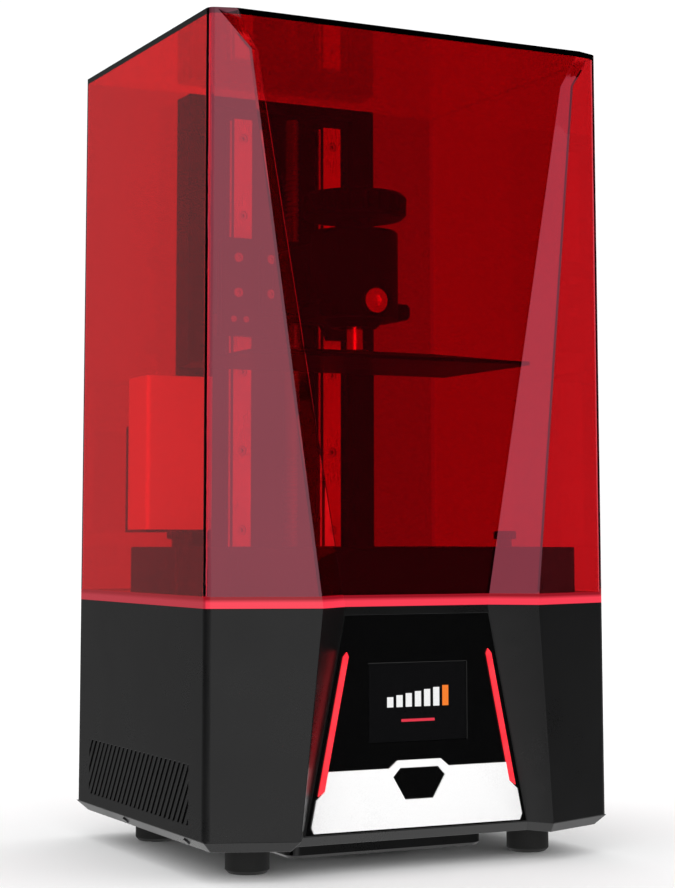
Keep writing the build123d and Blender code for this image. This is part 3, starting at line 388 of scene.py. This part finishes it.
def circuit_board():
    """Green solder mask over the slightly raised pattern of copper tracks."""
    material, tree, shader = new_material("circuit_board")
    tracks = tree.nodes.new("ShaderNodeTexVoronoi")
    tracks.distance = "MANHATTAN"
    tracks.feature = "F1"
    tracks.inputs["Scale"].default_value = 260.0
    tree.links.new(place(tree), tracks.inputs["Vector"])
    share = spread(tree, tracks.outputs["Distance"], 0.0, 1.0, 0.35, 0.42)
    tree.links.new(
        blend_colours(tree, share, (0.010, 0.075, 0.028), (0.004, 0.038, 0.015)),
        shader.inputs["Base Color"],
    )
    relief(tree, shader, share, 0.00004)
    set_inputs(shader, Roughness=0.32, Coat_Weight=0.4)
    return material


def purifier_plastic():
    return finish_surface("grey_plastic", ((0.78, 0.77, 0.76), (0.84, 0.83, 0.82)),
                          0.0006, (0.42, 0.52), 0.00002)


def grille_plastic():
    return finish_surface("grille_plastic", ((0.30, 0.30, 0.30), (0.36, 0.36, 0.36)),
                          0.0006, (0.45, 0.55), 0.00002)


def carbon_filter():
    """Granules of active carbon."""
    material, tree, shader = new_material("carbon_filter")
    grains = tree.nodes.new("ShaderNodeTexVoronoi")
    grains.inputs["Scale"].default_value = 600.0
    tree.links.new(place(tree), grains.inputs["Vector"])
    tree.links.new(
        blend_colours(tree, grains.outputs["Distance"], (0.020, 0.020, 0.020), (0.004, 0.004, 0.004)),
        shader.inputs["Base Color"],
    )
    relief(tree, shader, grains.outputs["Distance"], 0.0006)
    set_inputs(shader, Roughness=0.75)
    return material


def foot_rubber():
    return finish_surface("foot_rubber", ((0.010, 0.010, 0.010), (0.017, 0.017, 0.016)),
                          0.0007, (0.68, 0.80), 0.00004)


SLOT_MATERIALS = {
    "black_enamel": black_enamel(),
    "black_anodised": black_anodised(),
    "gloss_black": gloss_black(),
    "white_trim": white_trim(),
    "red_light": red_light(),
    "red_acrylic": cover_acrylic(),
    "screen_glass": screen_glass(),
    "lcd_glass": lcd_glass(),
    "clear_lens": clear_lens(),
    "clear_film": clear_film(),
    "ground_steel": ground_steel(),
    "carrier_steel": carrier_steel(),
    "bright_chrome": bright_chrome(),
    "black_screws": black_screws(),
    "steel_screws": steel_screws(),
    "thumb_metal": thumb_metal(),
    "knob_plastic": knob_plastic(),
    "bronze": bronze(),
    "dark_plastic": dark_plastic(),
    "bare_aluminium": bare_aluminium(),
    "sheet_steel": sheet_steel(),
    "motor_case": motor_case(),
    "circuit_board": circuit_board(),
    "grey_plastic": purifier_plastic(),
    "grille_plastic": grille_plastic(),
    "carbon_filter": carbon_filter(),
    "foot_rubber": foot_rubber(),
}
OWN_MATERIALS = {
    "cover_rim": rim_acrylic(),
    "carriage_plate": brushed_black(),
}


def dress_nodes():
    """Every carried-over CAD node gets its procedural material."""
    for name, node in NODES.items():
        for spot in node.material_slots:
            slot_name = spot.material.name.split(".")[0]
            spot.material = OWN_MATERIALS.get(name) or SLOT_MATERIALS[slot_name]


# ---- Pieces ----

def add_mesh(name, mesh_builder, body, slot_name, material=None, smooth=False):
    """A piece whose mesh is filled by mesh_builder(bmesh), riding on a CAD body."""
    mesh = bpy.data.meshes.new(name)
    work = bmesh.new()
    mesh_builder(work)
    bmesh.ops.recalc_face_normals(work, faces=work.faces)
    work.to_mesh(mesh)
    work.free()
    for face in mesh.polygons:
        face.use_smooth = smooth
    mesh.materials.append(material or SLOT_MATERIALS[slot_name])
    piece = bpy.data.objects.new(name, mesh)
    bpy.context.scene.collection.objects.link(piece)
    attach(piece, body)
    return piece


def add_prism(work, outline, low, high):
    """A prism through an X and Z outline, between two depths."""
    front = [work.verts.new((x, low, z)) for x, z in outline]
    back = [work.verts.new((x, high, z)) for x, z in outline]
    work.faces.new(front)
    work.faces.new(list(reversed(back)))
    for index in range(len(outline)):
        after = (index + 1) % len(outline)
        work.faces.new((front[index], back[index], back[after], front[after]))


def add_round_bar(work, centre, radius, low, high, sides):
    """An upright cylinder with closed ends."""
    rings = []
    for z in (low, high):
        ring = []
        for index in range(sides):
            turn = 2 * math.pi * index / sides
            ring.append(work.verts.new((
                centre[0] + radius * math.cos(turn), centre[1] + radius * math.sin(turn), z)))
        rings.append(ring)
    work.faces.new(rings[0])
    work.faces.new(list(reversed(rings[1])))
    for index in range(sides):
        after = (index + 1) % sides
        work.faces.new((rings[0][index], rings[0][after], rings[1][after], rings[1][index]))


THREAD_LEAD = 4 * MM
THREAD_DEPTH = 0.9 * MM
THREAD_STEPS = 18
THREAD_GAP = 2 * MM
CREST_END, ROOT_START, ROOT_END = 0.34, 0.50, 0.84  # shares of one turn
CORE_SHARE = 0.995
CORE_SIDES = 36
JOURNAL_LENGTH = 16 * MM
JOURNAL_R = 2.5 * MM
JOURNAL_SIDES = 24


def threaded_screw():
    """The lead screw with its trapezoidal thread, in place of the plain CAD rod."""
    centre = ((SCREW_LOW.x + SCREW_HIGH.x) / 2, (SCREW_LOW.y + SCREW_HIGH.y) / 2)
    crest = (SCREW_HIGH.x - SCREW_LOW.x) / 2
    root = crest - THREAD_DEPTH
    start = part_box("lift_motor")[1].z + THREAD_GAP
    turns = int((SCREW_HIGH.z - THREAD_GAP - start) / THREAD_LEAD) - 1
    profile = ((crest, 0.0), (crest, CREST_END), (root, ROOT_START), (root, ROOT_END))

    def build(work):
        rows = []
        for step in range((turns + 1) * THREAD_STEPS + 1):
            angle = 2 * math.pi * step / THREAD_STEPS
            row = []
            for radius, share in profile:
                height = start + THREAD_LEAD * (step / THREAD_STEPS + share)
                row.append(work.verts.new((
                    centre[0] + radius * math.cos(angle), centre[1] + radius * math.sin(angle), height)))
            rows.append(row)
        for step in range(len(rows) - 1):
            here, there = rows[step], rows[step + 1]
            for index in range(3):
                work.faces.new((here[index], there[index], there[index + 1], here[index + 1]))
            above = step + THREAD_STEPS
            if above + 1 < len(rows):
                work.faces.new((here[3], there[3], rows[above + 1][0], rows[above][0]))
        shoulder = SCREW_LOW.z + JOURNAL_LENGTH
        add_round_bar(work, centre, root * CORE_SHARE, shoulder, SCREW_HIGH.z, CORE_SIDES)
        add_round_bar(work, centre, JOURNAL_R, SCREW_LOW.z, shoulder, JOURNAL_SIDES)

    piece = add_mesh("lead_screw_threaded", build, "screw", "ground_steel", thread_steel())
    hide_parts("lead_screw")


def glow(name, colour, strength):
    """A lit area of the display, with the faint grid of its pixels."""
    material, tree, shader = new_material(name)
    pixels = noise(tree, 0.0004, 1.0)
    dim = tuple(0.85 * part for part in colour)
    tree.links.new(blend_colours(tree, spread(tree, pixels, 0.0, 1.0), dim, colour),
                   shader.inputs["Emission Color"])
    set_inputs(shader, Base_Color=(0.01, 0.01, 0.01), Roughness=0.3, Emission_Strength=strength)
    return material


PICTURE_DEPTH = 0.15 * MM
# What follows is in shares of the glass: widths, then heights.
BARS_WIDTH = 0.66
BAR_SHARE = 0.33  # half a bar, of the pitch
BARS_BASE = 0.44
FIRST_BAR, BAR_RISE = 0.13, 0.022
BAR_COUNT = 7
LINE_HALF = 0.17
LINE_LOW = 0.25
LINE_HEIGHT = 0.035


def screen_picture():
    """Generic picture on the display: a rising row of bars, the last one orange, over a short red line."""
    middle = (GLASS_LOW.x + GLASS_HIGH.x) / 2
    width = GLASS_HIGH.x - GLASS_LOW.x
    height = GLASS_HIGH.z - GLASS_LOW.z
    face = GLASS_LOW.y
    base_line = GLASS_LOW.z + BARS_BASE * height
    pitch = BARS_WIDTH * width / BAR_COUNT
    first = middle - pitch * (BAR_COUNT - 1) / 2

    def bars(chosen):
        def build(work):
            for index in chosen:
                x = first + pitch * index
                half = pitch * BAR_SHARE
                top = base_line + height * (FIRST_BAR + BAR_RISE * index)
                outline = ((x - half, base_line), (x + half, base_line), (x + half, top), (x - half, top))
                add_prism(work, outline, face - PICTURE_DEPTH, face)
        return build

    def line(work):
        half = LINE_HALF * width
        bottom = GLASS_LOW.z + LINE_LOW * height
        top = bottom + LINE_HEIGHT * height
        add_prism(work, ((middle - half, bottom), (middle + half, bottom),
                         (middle + half, top), (middle - half, top)), face - PICTURE_DEPTH, face)

    white = glow("display_white", (0.95, 0.95, 0.95), 1.0)
    orange = glow("display_orange", ORANGE, 1.0)
    red = glow("display_red", SCREEN_RED_AND_PAINTED_RIM_GLOW, 0.8)
    add_mesh("screen_bars", bars(range(BAR_COUNT - 1)), "base", "screen_glass", white)
    add_mesh("screen_last_bar", bars([BAR_COUNT - 1]), "base", "screen_glass", orange)
    add_mesh("screen_line", line, "base", "screen_glass", red)


SOFT_EDGES = {
    "base_shell": 0.5, "deck_plate": 0.4, "lower_trim": 0.3, "front_fascia": 0.3, "build_plate": 0.3,
    "tower_column": 0.5, "vat_frame": 0.4, "rear_panel": 0.3, "purifier_body": 0.3,
    "cantilever_arm": 0.4, "carriage_plate": 0.4, "intake_cover": 0.4, "bottom_pan": 0.4,
    "hexagon_inlay": 0.2, "rail_block_left": 0.3, "rail_block_right": 0.3,
}
SHARP_ANGLE = 32.0
WELD_DISTANCE = 0.01 * MM
BEVEL_SEGMENTS = 2


def soften_edges():
    """A narrow bevel on the edges of the larger CAD nodes, which catches the light as a real edge does."""
    for name, width in SOFT_EDGES.items():
        node = NODES[name]
        weld = node.modifiers.new("weld", "WELD")
        weld.merge_threshold = WELD_DISTANCE
        bevel = node.modifiers.new("soft_edges", "BEVEL")
        bevel.width = width * MM
        bevel.segments = BEVEL_SEGMENTS
        bevel.limit_method = "ANGLE"
        bevel.angle_limit = math.radians(SHARP_ANGLE)
        bevel.use_clamp_overlap = True
        bevel.miter_outer = "MITER_ARC"
        normals = node.modifiers.new("even_shading", "WEIGHTED_NORMAL")
        normals.keep_sharp = True


# ---- Studio ----

FLOOR_HALF = 6.0
FLOOR_DROP = 0.0002


def make_floor():
    """Plain pale floor, left out of reflections."""
    mesh = bpy.data.meshes.new("floor")
    half = FLOOR_HALF
    corners = [(-half, -half, 0), (half, -half, 0), (half, half, 0), (-half, half, 0)]
    mesh.from_pydata(corners, [], [(0, 1, 2, 3)])
    material, tree, shader = new_material("pale_floor")
    tree.links.new(
        blend_colours(tree, noise(tree, 0.4), (0.955, 0.955, 0.957), (0.965, 0.965, 0.967)),
        shader.inputs["Base Color"],
    )
    set_inputs(shader, Roughness=0.9, Specular_IOR_Level=0.0)
    mesh.materials.append(material)
    floor = bpy.data.objects.new("floor", mesh)
    bpy.context.scene.collection.objects.link(floor)
    floor.location.z = -FLOOR_DROP
    floor.visible_glossy = False


def direction_window(tree, axes, azimuth, half_width, heights, edge):
    """1 inside a window of the sky, 0 outside, with soft edges. Azimuth 0 is -Y, positive to +X."""
    turn = math.radians(azimuth)
    along = (math.sin(turn), -math.cos(turn), 0.0)
    dot = tree.nodes.new("ShaderNodeVectorMath")
    dot.operation = "DOT_PRODUCT"
    dot.inputs[1].default_value = along
    tree.links.new(axes[0], dot.inputs[0])
    reach = math.cos(math.radians(half_width))
    inside = spread(tree, dot.outputs["Value"], 0.0, 1.0, reach - edge, reach)
    low = spread(tree, axes[1], 0.0, 1.0, heights[0] - edge, heights[0])
    high = spread(tree, axes[1], 1.0, 0.0, heights[1], heights[1] + edge)
    return multiply(tree, inside, multiply(tree, low, high))


# azimuth, half width in degrees, lowest and highest direction, brightness
REFLECTIONS = (
    (-17.0, 16.0, (-0.30, 0.45), 0.90),
    (-50.0, 17.0, (-0.30, 0.40), 0.15),
    (105.0, 22.0, (-0.60, -0.02), 0.36),
    (-160.0, 30.0, (-0.30, 0.40), 0.20),
)
STUDIO_WHITE = 1.06
STUDIO_FILL = 0.16  # what diffuse surfaces get on top
STUDIO_DARK = 0.01
FLOOR_GLOW = 0.9  # what gloss mirrors below the horizon
BELOW = (-0.33, -0.22)
WINDOW_EDGE = 0.03


def make_world():
    """White all round, while gloss mirrors only a few soft lights and the floor, as in a dark studio."""
    world = bpy.data.worlds.new("studio")
    bpy.context.scene.world = world
    world.use_nodes = True
    world.cycles.sampling_method = "NONE"
    tree = world.node_tree
    white = tree.nodes["Background"]
    white.inputs["Color"].default_value = (1.0, 1.0, 1.0, 1.0)
    mirrored = tree.nodes.new("ShaderNodeBackground")
    coordinates = tree.nodes.new("ShaderNodeTexCoord")
    split = tree.nodes.new("ShaderNodeSeparateXYZ")
    tree.links.new(coordinates.outputs["Generated"], split.inputs["Vector"])
    axes = (coordinates.outputs["Generated"], split.outputs["Z"])
    total = spread(tree, split.outputs["Z"], FLOOR_GLOW, STUDIO_DARK, *BELOW)
    for azimuth, half_width, heights, brightness in REFLECTIONS:
        window = direction_window(tree, axes, azimuth, half_width, heights, WINDOW_EDGE)
        node = tree.nodes.new("ShaderNodeMath")
        node.operation = "MULTIPLY_ADD"
        tree.links.new(window, node.inputs[0])
        node.inputs[1].default_value = brightness
        tree.links.new(total, node.inputs[2])
        total = node.outputs[0]
    tree.links.new(total, mirrored.inputs["Strength"])
    paths = tree.nodes.new("ShaderNodeLightPath")
    fill = spread(tree, paths.outputs["Is Diffuse Ray"], STUDIO_WHITE, STUDIO_WHITE + STUDIO_FILL, 0.0, 1.0)
    tree.links.new(fill, white.inputs["Strength"])
    reflected = tree.nodes.new("ShaderNodeMath")
    reflected.operation = "SUBTRACT"
    reflected.use_clamp = True
    tree.links.new(paths.outputs["Is Glossy Ray"], reflected.inputs[0])
    tree.links.new(paths.outputs["Is Transmission Ray"], reflected.inputs[1])
    mix = tree.nodes.new("ShaderNodeMixShader")
    tree.links.new(reflected.outputs[0], mix.inputs["Fac"])
    tree.links.new(white.outputs[0], mix.inputs[1])
    tree.links.new(mirrored.outputs[0], mix.inputs[2])
    tree.links.new(mix.outputs[0], tree.nodes["World Output"].inputs["Surface"])


PINK = (1.0, 0.40, 0.54)
WARM_RED = (1.0, 0.035, 0.045)
NEUTRAL = (1.0, 1.0, 1.0)
SLANT_SIDE = ("cover_shell",)
LIFT_METAL = ("rail_left", "rail_right", "rail_screws", "carriage_bolts",
              "lead_screw_threaded")
ROUND_CHROME = ("ball_stud", "clamp_screw")
# name, azimuth, distance, middle height, width, height, brightness, colour, what it lights, its shadow
LIGHTS = (
    ("sheen_near", -17.0, 3.0, 0.25, 1.10, 3.2, 0.7, PINK, SLANT_SIDE, True),
    ("sheen_left", -48.0, 3.0, 0.25, 1.50, 3.2, 0.7, PINK, SLANT_SIDE, True),
    ("lift_light", 30.0, 1.6, 0.45, 0.6, 1.5, 7.5, WARM_RED, LIFT_METAL, False),
    ("chrome_light", -20.0, 1.2, 0.42, 0.35, 0.8, 30.0, WARM_RED, ROUND_CHROME, False),
    ("clamp_glint", -8.0, 0.9, 0.30, 0.5, 0.5, 24.0, WARM_RED, ("clamp_screw",), False),
    ("trim_light", -10.0, 1.5, 0.20, 1.0, 0.8, 0.60, NEUTRAL, ("lower_trim",), False),
    ("purifier_light", -50.0, 1.2, 0.35, 0.6, 0.8, 9.0, WARM_RED, ("purifier_body",), False),
)


def make_lights():
    """Soft lights that each reach only the pieces named with them. Those without a shadow pass the cover."""
    for name, azimuth, distance, middle, width, height, brightness, colour, lit, shadow in LIGHTS:
        turn = math.radians(azimuth)
        light = bpy.data.lights.new(name, "AREA")
        light.shape = "RECTANGLE"
        light.size = width
        light.size_y = height
        light.color = colour
        light.energy = brightness * math.pi * width * height
        light.use_shadow = shadow
        lamp = bpy.data.objects.new(name, light)
        bpy.context.scene.collection.objects.link(lamp)
        lamp.location = (distance * math.sin(turn), -distance * math.cos(turn), middle)
        lamp.rotation_euler = (math.radians(90), 0, turn)
        lamp.visible_camera = False
        lamp.visible_transmission = False
        receivers = bpy.data.collections.new(name + "_receivers")
        for lit_name in lit:
            receivers.objects.link(bpy.data.objects[lit_name])
        lamp.light_linking.receiver_collection = receivers


def make_camera():
    """The photograph's view."""
    data = bpy.data.cameras.new("camera")
    data.lens = CAMERA_LENS
    data.sensor_width = 36.0
    data.sensor_fit = "AUTO"
    data.shift_x, data.shift_y = CAMERA_SHIFT
    data.clip_start = 0.05
    data.clip_end = 50.0
    camera = bpy.data.objects.new("camera", data)
    bpy.context.scene.collection.objects.link(camera)
    camera.location = CAMERA_PLACE
    camera.rotation_euler = [math.radians(angle) for angle in CAMERA_TURN]
    bpy.context.scene.camera = camera


def clear_start_scene():
    """The cube, lamp and camera that a new file may hold."""
    for name in ("Cube", "Light", "Camera"):
        if name in bpy.data.objects:
            bpy.data.objects.remove(bpy.data.objects[name])


clear_start_scene()
dress_nodes()
soften_edges()
threaded_screw()
screen_picture()
make_floor()
make_world()
make_lights()
make_camera()
bpy.context.scene.view_settings.view_transform = "Standard"
